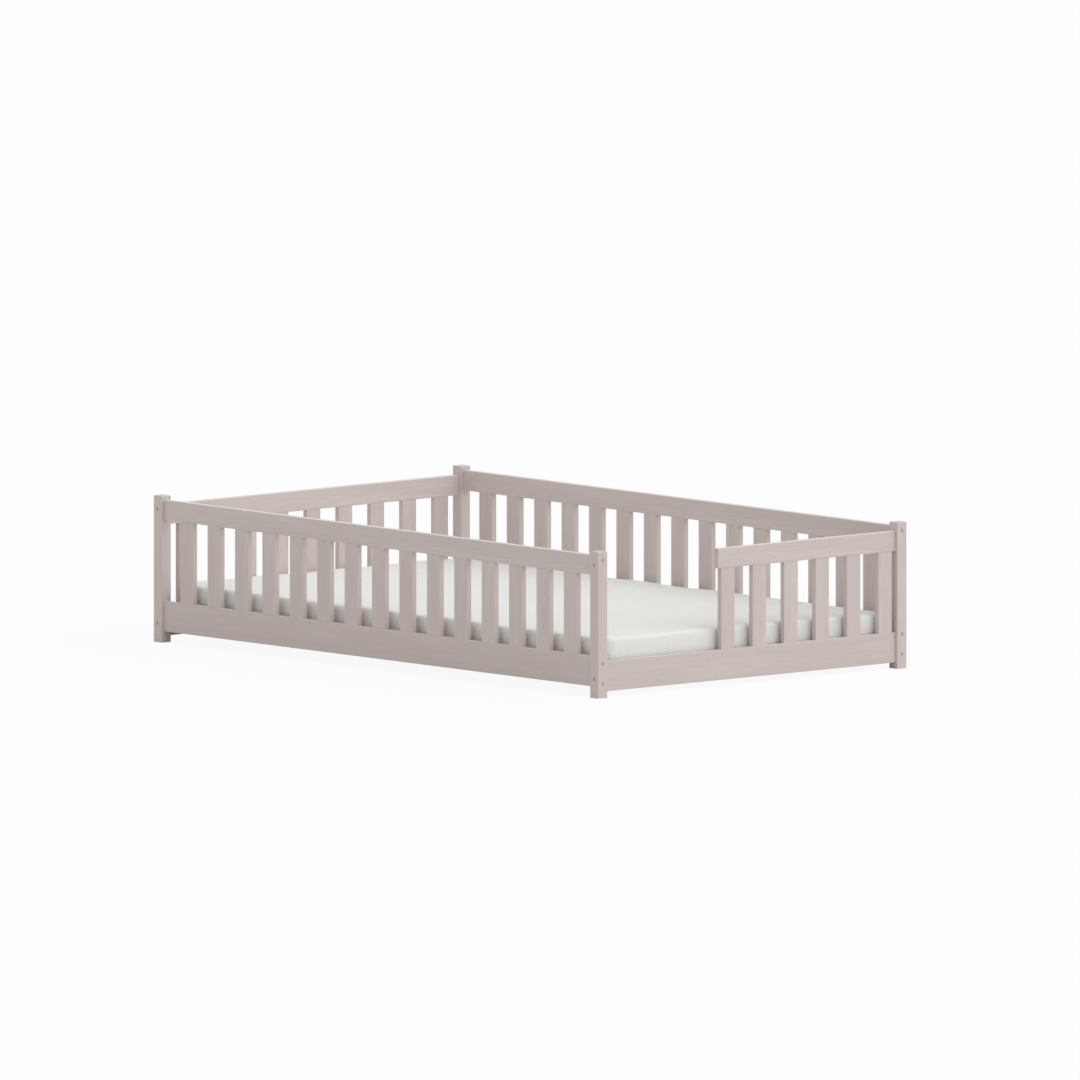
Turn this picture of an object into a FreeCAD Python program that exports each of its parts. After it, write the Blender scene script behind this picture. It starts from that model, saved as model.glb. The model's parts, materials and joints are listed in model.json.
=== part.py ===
"""Low bed for a child: corner posts, a slatted fence with a gap to climb through, a base and a mattress."""
import FreeCAD
import Part
import math
import os

# Sleeping space, between the inner faces of the rails
clear_length = 2000.0
clear_width = 1200.0

# Corner posts
post_side = 38.0
post_height = 451.0
post_rounding = 2.0

# Fence rails, centred on the posts: a panel's rise is from the floor, its drop from the posts' tops
rail_thickness = 20.0
rail_rounding = 2.0
top_rail_height = 62.0
bottom_rail_height = 93.0
side_panel_rise = 34.0
side_panel_drop = 12.0
end_panel_rise = 19.0

# Fence slats, with a stub tenon at each end, as long as the space between the rails
slat_thickness = 18.0
slat_rounding = 1.5
side_slat_width = 60.0
end_slat_width = 55.0
tenon_length = 14.0
tenon_thickness = 8.0
tenon_shoulder = 5.0
tenon_clearance = 0.2

# Fence pattern: the end gaps lie between a rail's end and its nearest slat
side_slat_count = 15
side_end_gap = 73.0
left_slat_count = 9
left_end_gap = 43.0
entry_slat_count = 6
entry_end_gap = 13.0
entry_gap = 460.0

# Screws through the posts into the rails' ends, under cover caps
screw_shank_diameter = 7.0
screw_head_diameter = 10.0
screw_head_height = 4.0
screw_socket_width = 4.0
screw_socket_depth = 2.5
screw_bite = 30.0
screw_tip = 4.0
screw_clearance = 0.15
cap_diameter = 11.0
cap_thickness = 3.0
cap_recess = 0.5
cap_edge = 0.6
top_screw_drop = 13.5
side_screw_drop = 21.0
side_screw_rise = 10.0
end_screw_rise = 40.0

# Dowels beside the screws
dowel_diameter = 8.0
dowel_post_depth = 13.0
dowel_rail_depth = 18.0
dowel_edge = 1.0
dowel_clearance = 0.15
top_dowel_rise = 24.0
side_dowel_rise = 41.0
end_dowel_rise = 70.0

# Ledgers inside the long bottom rails
ledger_depth = 25.0
ledger_height = 20.0
ledger_end_gap = 5.0
ledger_rounding = 2.0

# Base slats across the ledgers
base_slat_count = 16
base_slat_width = 70.0
base_slat_thickness = 18.0
base_slat_rounding = 3.0
base_slat_play = 2.0
base_end_gap = 30.0

# Centre beam and its feet
beam_width = 58.0
beam_height = 30.0
beam_end_gap = 40.0
beam_rounding = 2.0
foot_count = 3
foot_diameter = 44.0
foot_edge = 2.0
foot_inset = 200.0
foot_stub_diameter = 20.0
foot_stub_length = 14.0
foot_clearance = 0.15

# Small screws of the base
wood_screw_diameter = 4.0
wood_screw_head_diameter = 8.0
wood_screw_head_height = 2.5
wood_screw_bite = 11.0
wood_screw_sink = 0.5
wood_screw_clearance = 0.1

# Mattress: a foam core in a cover, with rounded edges and a crowned top
mattress_gap = 5.0
mattress_seat_clearance = 0.3
mattress_thickness = 106.0
mattress_corner_radius = 60.0
mattress_top_rounding = 18.0
mattress_bottom_rounding = 18.0
mattress_crown = 3.0
mattress_draw_in = 3.0
mattress_edge_steps = 5
cover_thickness = 3.0
core_clearance = 0.3
crown_shares = ((0.2, 0.7), (0.5, 1.0))

# How far every cutting shape runs past the face that it cuts, and how near two places count as one
overrun = 1.0
same_place = 0.01

# Worked out from the sizes above
post_setback = (post_side - rail_thickness) / 2
bed_length = clear_length + 2 * (rail_thickness + post_setback)
bed_width = clear_width + 2 * (rail_thickness + post_setback)
side_span = bed_length - 2 * post_side
end_span = bed_width - 2 * post_side
side_line = (clear_width + rail_thickness) / 2
end_line = (clear_length + rail_thickness) / 2
slat_length = post_height - side_panel_drop - top_rail_height - bottom_rail_height - side_panel_rise
top_rail_rise = bottom_rail_height + slat_length
head_seat = cap_recess + cap_thickness + screw_head_height
ledger_top = side_panel_rise + ledger_height
base_top = ledger_top + base_slat_thickness

along_x = FreeCAD.Vector(1, 0, 0)
along_y = FreeCAD.Vector(0, 1, 0)
along_z = FreeCAD.Vector(0, 0, 1)
origin = FreeCAD.Vector(0, 0, 0)


def moved(shape, x=0.0, y=0.0, z=0.0, turn=0.0):
    """A copy of the shape, turned about the upright axis and then moved."""
    copy = shape.copy()
    copy.rotate(origin, along_z, turn)
    copy.translate(FreeCAD.Vector(x, y, z))
    return copy


def centred_box(length, width, height):
    """A box on the plane z = 0, centred on the upright axis."""
    return Part.makeBox(length, width, height, FreeCAD.Vector(-length / 2, -width / 2, 0))


def edges_along(shape, direction):
    """The straight edges of a box that run along a direction."""
    return [edge for edge in shape.Edges if abs(edge.tangentAt(edge.FirstParameter).dot(direction)) > 0.5]


def edges_on_plane(shape, direction, level):
    """The edges whose middle lies on the plane at a level along a direction."""
    return [edge for edge in shape.Edges if abs(edge.CenterOfMass.dot(direction) - level) < same_place]


def cylinder(diameter, length, start, direction):
    """A round bar from a start point along a direction."""
    return Part.makeCylinder(diameter / 2, length, start, direction)


def evenly_spaced(first, last, count):
    """Places from first to last, in equal steps."""
    step = (last - first) / (count - 1)
    return [first + step * index for index in range(count)]


def save(name, shapes):
    """Write a node's solids to its file."""
    Part.makeCompound(shapes).exportStep(os.path.join("parts", name + ".step"))


# Rails and slats, made along X with their underside at z = 0 and their middle plane at y = 0


def make_rail(start, end, height, rounded_start=False):
    """A rail with rounded long edges, and a rounded end where it stops short of a post."""
    blank = Part.makeBox(end - start, rail_thickness, height, FreeCAD.Vector(start, -rail_thickness / 2, 0))
    edges = edges_along(blank, along_x)
    if rounded_start:
        edges += edges_on_plane(blank, along_x, start)
    return blank.makeFillet(rail_rounding, edges)


def make_slat(width):
    """A fence slat with rounded upright edges and a stub tenon at each end."""
    blank = centred_box(width, slat_thickness, slat_length)
    body = blank.makeFillet(slat_rounding, edges_along(blank, along_z))
    tenon = centred_box(width - 2 * tenon_shoulder, tenon_thickness, slat_length + 2 * tenon_length)
    return body.fuse(moved(tenon, z=-tenon_length))


def make_mortises(width, places, level):
    """The pockets that take the tenons on both sides of a slat row whose lower shoulders are at a level."""
    pocket_width = width - 2 * tenon_shoulder + 2 * tenon_clearance
    pocket_height = slat_length + 2 * (tenon_length + tenon_clearance)
    pocket = centred_box(pocket_width, tenon_thickness + 2 * tenon_clearance, pocket_height)
    return [moved(pocket, x=place, z=level - tenon_length - tenon_clearance) for place in places]


# Screws, caps and dowels, made to enter a rail's end from a post's outer face at x = 0, pointing along X


def make_rail_screw():
    """A screw with a socket head, seated below its cap."""
    head_start = cap_recess + cap_thickness
    tip_start = post_side + screw_bite - screw_tip
    head = cylinder(screw_head_diameter, screw_head_height, along_x * head_start, along_x)
    shank = cylinder(screw_shank_diameter, tip_start - head_seat, along_x * head_seat, along_x)
    tip = Part.makeCone(screw_shank_diameter / 2, 0, screw_tip, along_x * tip_start, along_x)
    return head.fuse([shank, tip]).cut(make_socket(head_start))


def make_socket(start):
    """The hexagonal socket in a screw's head."""
    sides = 6
    radius = screw_socket_width / math.sqrt(3)
    angles = [2 * math.pi * corner / sides for corner in range(sides + 1)]
    corners = [FreeCAD.Vector(start, radius * math.cos(angle), radius * math.sin(angle)) for angle in angles]
    return Part.Face(Part.makePolygon(corners)).extrude(along_x * screw_socket_depth)


def make_screw_hole():
    """The bore for a rail screw, with the wider mouth for its head and cap."""
    bore_length = post_side + screw_bite + screw_clearance
    bore = cylinder(screw_shank_diameter + 2 * screw_clearance, bore_length, origin, along_x)
    return bore.fuse(make_cap_pocket())


def make_cap_pocket():
    """The wide mouth of a screw hole."""
    length = head_seat + overrun
    return cylinder(cap_diameter + 2 * screw_clearance, length, along_x * -overrun, along_x)


def make_cap():
    """A round cover cap with a bevelled rim, just below the post's face."""
    blank = cylinder(cap_diameter, cap_thickness, along_x * cap_recess, along_x)
    rim = edges_on_plane(blank, along_x, cap_recess)
    return blank.makeChamfer(cap_edge, rim)


def make_dowel():
    """A dowel with bevelled ends, across the joint between a post and a rail."""
    start = post_side - dowel_post_depth
    blank = cylinder(dowel_diameter, dowel_post_depth + dowel_rail_depth, along_x * start, along_x)
    ends = edges_on_plane(blank, along_x, start)
    ends += edges_on_plane(blank, along_x, post_side + dowel_rail_depth)
    return blank.makeChamfer(dowel_edge, ends)


def make_dowel_hole():
    """The bore for a dowel, in the post and in the rail."""
    start = post_side - dowel_post_depth - dowel_clearance
    length = dowel_post_depth + dowel_rail_depth + 2 * dowel_clearance
    return cylinder(dowel_diameter + 2 * dowel_clearance, length, along_x * start, along_x)


class Joinery:
    """The screws, caps and dowels of the frame, and the holes that they need."""

    def __init__(self):
        self.screws = []
        self.caps = []
        self.dowels = []
        self.holes = []

    def add_end(self, placed, span, side, screw_levels, dowel_level):
        """Join one end of a rail to its post: side is -1 or 1 along the panel."""
        turn = 0.0 if side < 0 else 180.0
        face = side * (span / 2 + post_side)
        for level in screw_levels:
            self.screws.append(placed(moved(make_rail_screw(), x=face, z=level, turn=turn)))
            self.caps.append(placed(moved(make_cap(), x=face, z=level, turn=turn)))
            self.holes.append(placed(moved(make_screw_hole(), x=face, z=level, turn=turn)))
        self.dowels.append(placed(moved(make_dowel(), x=face, z=dowel_level, turn=turn)))
        self.holes.append(placed(moved(make_dowel_hole(), x=face, z=dowel_level, turn=turn)))

    def add_spare_cap(self, placed, span, side, level):
        """Cap a drilled post face that has no rail behind it."""
        turn = 0.0 if side < 0 else 180.0
        face = side * (span / 2 + post_side)
        self.caps.append(placed(moved(make_cap(), x=face, z=level, turn=turn)))
        self.holes.append(placed(moved(make_cap_pocket(), x=face, z=level, turn=turn)))


class Panel:
    """One side of the fence: two rails with a row of slats between them."""

    def __init__(self, name, span, rise, turn, offset, slat_width, slat_count, end_gap, opening=0.0):
        self.name = name
        self.span = span
        self.rise = rise
        self.turn = turn
        self.offset = offset
        self.slat_width = slat_width
        self.top_start = opening - span / 2
        first = self.top_start + end_gap + slat_width / 2
        last = span / 2 - end_gap - slat_width / 2
        self.places = evenly_spaced(first, last, slat_count)

    def placed(self, shape):
        """A shape of the panel, moved from its own frame to the bed's."""
        return moved(moved(shape, y=self.offset, z=self.rise), turn=self.turn)

    def join(self, joinery, bottom_screws, bottom_dowel):
        """Add the screws, caps and dowels at the panel's four corners."""
        top_screw = top_rail_rise + top_rail_height - top_screw_drop
        for side in (-1, 1):
            joinery.add_end(self.placed, self.span, side, bottom_screws, bottom_dowel)
        joinery.add_end(self.placed, self.span, 1, [top_screw], top_rail_rise + top_dowel_rise)
        if self.top_start > -self.span / 2:
            joinery.add_spare_cap(self.placed, self.span, -1, top_screw)
        else:
            joinery.add_end(self.placed, self.span, -1, [top_screw], top_rail_rise + top_dowel_rise)

    def make_rails(self, holes):
        """The bottom and the top rail, with their mortises and holes."""
        mortises = make_mortises(self.slat_width, self.places, bottom_rail_height)
        bottom = make_rail(-self.span / 2, self.span / 2, bottom_rail_height).cut(mortises)
        shortened = self.top_start > -self.span / 2
        top = moved(make_rail(self.top_start, self.span / 2, top_rail_height, shortened), z=top_rail_rise)
        return [self.placed(rail).cut(holes) for rail in (bottom, top.cut(mortises))]

    def make_slats(self):
        """The row of slats, seated on the bottom rail."""
        slat = make_slat(self.slat_width)
        return [self.placed(moved(slat, x=place, z=bottom_rail_height)) for place in self.places]


def make_post(side_x, side_y, holes):
    """A corner post with rounded upright and top edges, drilled for its rails."""
    blank = centred_box(post_side, post_side, post_height)
    edges = edges_along(blank, along_z) + edges_on_plane(blank, along_z, post_height)
    post = blank.makeFillet(post_rounding, edges)
    x = side_x * (bed_length - post_side) / 2
    y = side_y * (bed_width - post_side) / 2
    return moved(post, x=x, y=y).cut(holes)


# The base: ledgers, slats, beam and feet


def base_slat_places():
    """Where the base slats lie along the bed."""
    end = clear_length / 2 - base_end_gap - base_slat_width / 2
    return evenly_spaced(-end, end, base_slat_count)


def make_wood_screw(grip):
    """A small screw whose head lies on the plane z = 0, pointing down, with its grip in the upper piece."""
    length = grip - wood_screw_head_height + wood_screw_bite
    head_base = along_z * -wood_screw_head_height
    head = cylinder(wood_screw_head_diameter, wood_screw_head_height, head_base, along_z)
    return head.fuse(cylinder(wood_screw_diameter, length, head_base, -along_z))


def make_wood_screw_hole(grip):
    """The bore for a small screw, with room for its head to sink."""
    length = grip + wood_screw_bite + wood_screw_clearance
    mouth_depth = wood_screw_head_height + overrun
    mouth_diameter = wood_screw_head_diameter + 2 * wood_screw_clearance
    mouth = cylinder(mouth_diameter, mouth_depth, along_z * -wood_screw_head_height, along_z)
    bore = cylinder(wood_screw_diameter + 2 * wood_screw_clearance, length, along_z * -length, along_z)
    return mouth.fuse(bore)


def base_screw_spots():
    """Each base slat is screwed to the two ledgers and to the centre beam."""
    ledger_row = (clear_width - ledger_depth) / 2
    return [(x, y) for x in base_slat_places() for y in (-ledger_row, 0.0, ledger_row)]


def ledger_screw_spots():
    """Each ledger is screwed to its rail under every second gap between base slats."""
    places = base_slat_places()
    gaps = [(places[index] + places[index + 1]) / 2 for index in range(0, base_slat_count - 1, 2)]
    return [(x, side) for x in gaps for side in (-1, 1)]


def through_ledger(shape, x, side):
    """A small screw's shape, laid level and pointing outward through a ledger into its rail."""
    laid = shape.copy()
    laid.rotate(origin, along_x, side * 90)
    inner_face = side * (clear_width / 2 - ledger_depth + wood_screw_sink)
    laid.translate(FreeCAD.Vector(x, inner_face, side_panel_rise + ledger_height / 2))
    return laid


def through_base_slat(shape, x, y):
    """A small screw's shape, pointing down through a base slat."""
    return moved(shape, x=x, y=y, z=base_top - wood_screw_sink)


def ledger_screw_holes():
    """The bores for the ledger screws, in the ledgers and in the long bottom rails."""
    hole = make_wood_screw_hole(ledger_depth - wood_screw_sink)
    return [through_ledger(hole, x, side) for x, side in ledger_screw_spots()]


def base_screw_holes():
    """The bores for the base screws, in the base slats, the ledgers and the beam."""
    hole = make_wood_screw_hole(base_slat_thickness - wood_screw_sink)
    return [through_base_slat(hole, x, y) for x, y in base_screw_spots()]


def make_ledger(side, holes):
    """A strip along the foot of a long bottom rail's inner face."""
    blank = centred_box(side_span - 2 * ledger_end_gap, ledger_depth, ledger_height)
    inner_face = -side * ledger_depth / 2
    inner_edges = [edge for edge in edges_along(blank, along_x) if edge.CenterOfMass.y * inner_face > 0]
    ledger = blank.makeFillet(ledger_rounding, inner_edges)
    return moved(ledger, y=side * (clear_width - ledger_depth) / 2, z=side_panel_rise).cut(holes)


def make_base_slats(holes):
    """The slats that carry the mattress."""
    blank = centred_box(base_slat_width, clear_width - 2 * base_slat_play, base_slat_thickness)
    slat = blank.makeFillet(base_slat_rounding, edges_along(blank, along_y))
    return [moved(slat, x=place, z=ledger_top).cut(holes) for place in base_slat_places()]


def foot_places():
    """Where the feet stand along the centre beam."""
    end = clear_length / 2 - beam_end_gap - foot_inset
    return evenly_spaced(-end, end, foot_count)


def make_centre_beam(holes):
    """The beam under the middle of the base slats, bored from below for its feet."""
    blank = centred_box(clear_length - 2 * beam_end_gap, beam_width, beam_height)
    beam = moved(blank.makeFillet(beam_rounding, edges_along(blank, along_x)), z=ledger_top - beam_height)
    bore_diameter = foot_stub_diameter + 2 * foot_clearance
    bore_length = foot_stub_length + foot_clearance + overrun
    start = ledger_top - beam_height - overrun
    bores = [
        cylinder(bore_diameter, bore_length, FreeCAD.Vector(x, 0, start), along_z) for x in foot_places()
    ]
    return beam.cut(holes + bores)


def make_feet():
    """Round feet under the centre beam, each with a stub that seats in the beam."""
    height = ledger_top - beam_height
    blank = cylinder(foot_diameter, height, origin, along_z)
    foot = blank.makeChamfer(foot_edge, edges_on_plane(blank, along_z, 0.0))
    stub = cylinder(foot_stub_diameter, foot_stub_length, along_z * height, along_z)
    return [moved(foot.fuse(stub), x=place) for place in foot_places()]


# The mattress: lofts through outlines of four corner arcs and four gently drawn-in sides


def mattress_outline(inset, level, corner_radius):
    """The mattress's outline at a level, drawn in by an inset."""
    half_length = clear_length / 2 - mattress_gap - inset
    half_width = clear_width / 2 - mattress_gap - inset
    run_x = half_length - corner_radius
    run_y = half_width - corner_radius
    reach = corner_radius / math.sqrt(2)
    half_ring = [
        (half_length, -run_y),
        (half_length - mattress_draw_in, 0),
        (half_length, run_y),
        (run_x + reach, run_y + reach),
        (run_x, half_width),
        (0, half_width - mattress_draw_in),
        (-run_x, half_width),
        (-run_x - reach, run_y + reach),
    ]
    ring = half_ring + [(-x, -y) for x, y in half_ring]
    points = [FreeCAD.Vector(x, y, level) for x, y in ring + ring[:1]]
    arcs = [Part.Arc(*points[index:index + 3]).toShape() for index in range(0, len(ring), 2)]
    return Part.Wire(arcs)


def quarter_turn_shares():
    """Sine and cosine pairs over a quarter turn."""
    angles = [math.pi / 2 * step / mattress_edge_steps for step in range(mattress_edge_steps + 1)]
    return [(math.sin(angle), math.cos(angle)) for angle in angles]


def make_mattress_block(shrink):
    """The mattress's form, smaller by a shrink on every face: rounded edges and a crowned top."""
    base = base_top + mattress_seat_clearance + shrink
    top = base_top + mattress_seat_clearance + mattress_thickness - shrink
    shoulder = top - mattress_crown
    bottom_radius = mattress_bottom_rounding - shrink
    top_radius = mattress_top_rounding - shrink
    corner = mattress_corner_radius - shrink
    outlines = []
    for sine, cosine in quarter_turn_shares():
        inset = bottom_radius * (1 - sine)
        level = base + bottom_radius * (1 - cosine)
        outlines.append(mattress_outline(shrink + inset, level, corner - inset))
    for sine, cosine in quarter_turn_shares():
        inset = top_radius * (1 - cosine)
        level = shoulder - top_radius * (1 - sine)
        outlines.append(mattress_outline(shrink + inset, level, corner - inset))
    for inward_share, rise_share in crown_shares:
        inset = top_radius + inward_share * (clear_width / 2 - mattress_gap)
        level = shoulder + rise_share * mattress_crown
        outlines.append(mattress_outline(shrink + inset, level, corner - top_radius))
    return Part.makeLoft(outlines, True, True)


def build_mattress():
    """The cover as a closed shell, and the foam core that fills it."""
    cover = make_mattress_block(0.0).cut(make_mattress_block(cover_thickness))
    save("mattress_cover", [cover])
    save("mattress_core", [make_mattress_block(cover_thickness + core_clearance)])


def build_fence():
    """The fence panels, the posts and what joins them."""
    front = Panel("front", side_span, side_panel_rise, 0.0, -side_line,
                  side_slat_width, side_slat_count, side_end_gap)
    back = Panel("back", side_span, side_panel_rise, 0.0, side_line,
                 side_slat_width, side_slat_count, side_end_gap)
    left = Panel("left", end_span, end_panel_rise, 90.0, end_line,
                 end_slat_width, left_slat_count, left_end_gap)
    entry = Panel("entry", end_span, end_panel_rise, 90.0, -end_line,
                  end_slat_width, entry_slat_count, entry_end_gap, entry_gap)
    joinery = Joinery()
    for panel in (front, back):
        side_screws = [side_screw_rise, bottom_rail_height - side_screw_drop]
        panel.join(joinery, side_screws, side_dowel_rise)
    for panel in (left, entry):
        panel.join(joinery, [end_screw_rise], end_dowel_rise)
    for panel in (front, back, left, entry):
        bottom_rail, top_rail = panel.make_rails(joinery.holes)
        save(panel.name + "_bottom_rail", [bottom_rail.cut(ledger_screw_holes())])
        save(panel.name + "_top_rail", [top_rail])
    for panel in (front, left, entry):
        for number, slat in enumerate(panel.make_slats(), 1):
            save(f"{panel.name}_slat_{number:02d}", [slat])
    save("back_slats", back.make_slats())
    corners = {"front_left": (-1, -1), "front_right": (1, -1), "back_right": (1, 1), "back_left": (-1, 1)}
    for name, (side_x, side_y) in corners.items():
        save("post_" + name, [make_post(side_x, side_y, joinery.holes)])
    save("rail_screws", joinery.screws)
    save("screw_caps", joinery.caps)
    save("rail_dowels", joinery.dowels)


def build_base():
    """The ledgers, the base slats, the centre beam, its feet and the small screws."""
    slat_holes = base_screw_holes()
    save("front_ledger", [make_ledger(-1, ledger_screw_holes() + slat_holes)])
    save("back_ledger", [make_ledger(1, ledger_screw_holes() + slat_holes)])
    save("base_slats", make_base_slats(slat_holes))
    save("centre_beam", [make_centre_beam(slat_holes)])
    save("centre_feet", make_feet())
    ledger_screw = make_wood_screw(ledger_depth - wood_screw_sink)
    save("ledger_screws", [through_ledger(ledger_screw, x, side) for x, side in ledger_screw_spots()])
    base_screw = make_wood_screw(base_slat_thickness - wood_screw_sink)
    save("base_screws", [through_base_slat(base_screw, x, y) for x, y in base_screw_spots()])


os.makedirs("parts", exist_ok=True)
build_fence()
build_base()
build_mattress()
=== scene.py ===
"""Dresses a low child's bed: a stained pine fence, a plain pine base, its fasteners and a padded mattress."""

import json
import logging
import math
from dataclasses import dataclass, replace
from enum import Enum
from typing import Any, ClassVar, Mapping, Optional, Sequence, Union

import bmesh
import bpy
import numpy as np
from mathutils import Matrix, Vector

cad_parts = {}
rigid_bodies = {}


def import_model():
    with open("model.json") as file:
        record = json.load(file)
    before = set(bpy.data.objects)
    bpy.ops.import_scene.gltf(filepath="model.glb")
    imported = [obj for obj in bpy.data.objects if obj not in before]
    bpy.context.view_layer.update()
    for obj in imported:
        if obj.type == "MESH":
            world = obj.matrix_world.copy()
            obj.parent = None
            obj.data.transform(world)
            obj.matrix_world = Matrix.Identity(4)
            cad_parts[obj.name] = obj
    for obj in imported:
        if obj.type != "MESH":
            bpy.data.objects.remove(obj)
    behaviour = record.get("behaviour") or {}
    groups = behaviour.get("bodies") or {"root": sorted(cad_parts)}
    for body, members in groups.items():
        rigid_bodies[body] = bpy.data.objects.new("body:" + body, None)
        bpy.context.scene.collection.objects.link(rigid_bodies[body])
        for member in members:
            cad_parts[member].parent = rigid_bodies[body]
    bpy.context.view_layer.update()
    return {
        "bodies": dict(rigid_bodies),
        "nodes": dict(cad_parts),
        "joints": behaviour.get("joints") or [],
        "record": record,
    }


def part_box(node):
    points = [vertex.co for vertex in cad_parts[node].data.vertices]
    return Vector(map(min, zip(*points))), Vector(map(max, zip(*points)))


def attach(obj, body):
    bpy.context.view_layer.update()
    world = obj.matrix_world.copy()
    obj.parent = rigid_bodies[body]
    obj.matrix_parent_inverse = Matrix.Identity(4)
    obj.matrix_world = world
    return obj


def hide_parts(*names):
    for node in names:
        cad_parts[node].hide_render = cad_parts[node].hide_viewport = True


log = logging.getLogger("bed")

Frame = dict[str, Any]
Colour = tuple[float, float, float, float]
Pair = tuple[float, float]
Triple = tuple[float, float, float]
Number = Union["Shade", float]
Socket = Union[int, str]

AXES = "XYZ"
WHITE: Colour = (1.0, 1.0, 1.0, 1.0)
MILLIMETRES = 1000


def paint(red: int, green: int, blue: int) -> Colour:
    """A colour as it looks on a screen, turned into the linear values that shaders take.

    Args:
        red: Red, from 0 to 255.
        green: Green, from 0 to 255.
        blue: Blue, from 0 to 255.

    Returns:
        The linear colour with full alpha.
    """
    shares = [channel / 255 for channel in (red, green, blue)]
    linear = [share / 12.92 if share <= 0.04045 else ((share + 0.055) / 1.055) ** 2.4 for share in shares]
    return (linear[0], linear[1], linear[2], 1.0)


def middle(node: str) -> Vector:
    """The middle of a node's box, at rest."""
    low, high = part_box(node)
    return (low + high) / 2


class Shade:
    """A shader socket that takes part in sums: each operator adds a Math node."""

    def __init__(self, bench: "ShaderBench", socket: bpy.types.NodeSocket) -> None:
        """Wrap a node's output socket."""
        self.bench = bench
        self.socket = socket

    def _math(self, operation: str, *values: Number) -> "Shade":
        """A Math node that works on the given values."""
        return self.bench.add("ShaderNodeMath", {"operation": operation}, dict(enumerate(values)))

    def __add__(self, other: Number) -> "Shade":
        """This value plus another."""
        return self._math("ADD", self, other)

    def __radd__(self, other: Number) -> "Shade":
        """A number plus this value."""
        return self._math("ADD", other, self)

    def __sub__(self, other: Number) -> "Shade":
        """This value minus another."""
        return self._math("SUBTRACT", self, other)

    def __rsub__(self, other: Number) -> "Shade":
        """A number minus this value."""
        return self._math("SUBTRACT", other, self)

    def __mul__(self, other: Number) -> "Shade":
        """This value times another."""
        return self._math("MULTIPLY", self, other)

    def __rmul__(self, other: Number) -> "Shade":
        """A number times this value."""
        return self._math("MULTIPLY", other, self)

    def __truediv__(self, other: Number) -> "Shade":
        """This value divided by another."""
        return self._math("DIVIDE", self, other)

    def __rtruediv__(self, other: Number) -> "Shade":
        """A number divided by this value."""
        return self._math("DIVIDE", other, self)

    def __abs__(self) -> "Shade":
        """This value without its sign."""
        return self._math("ABSOLUTE", self)

    def larger(self, other: Number) -> "Shade":
        """The larger of this value and another."""
        return self._math("MAXIMUM", self, other)

    def wave(self) -> "Shade":
        """The sine of this value."""
        return self._math("SINE", self)

    def fraction(self) -> "Shade":
        """What is left of this value above its whole number."""
        return self._math("FRACT", self)

    def ease(self, start: float, end: float) -> "Shade":
        """A soft step from 0 at the start to 1 at the end.

        Args:
            start: The value that gives 0.
            end: The value that gives 1.

        Returns:
            The eased value, between 0 and 1.
        """
        settings = {"interpolation_type": "SMOOTHSTEP"}
        sockets = {"Value": self, "From Min": start, "From Max": end}
        return self.bench.add("ShaderNodeMapRange", settings, sockets)


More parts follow.
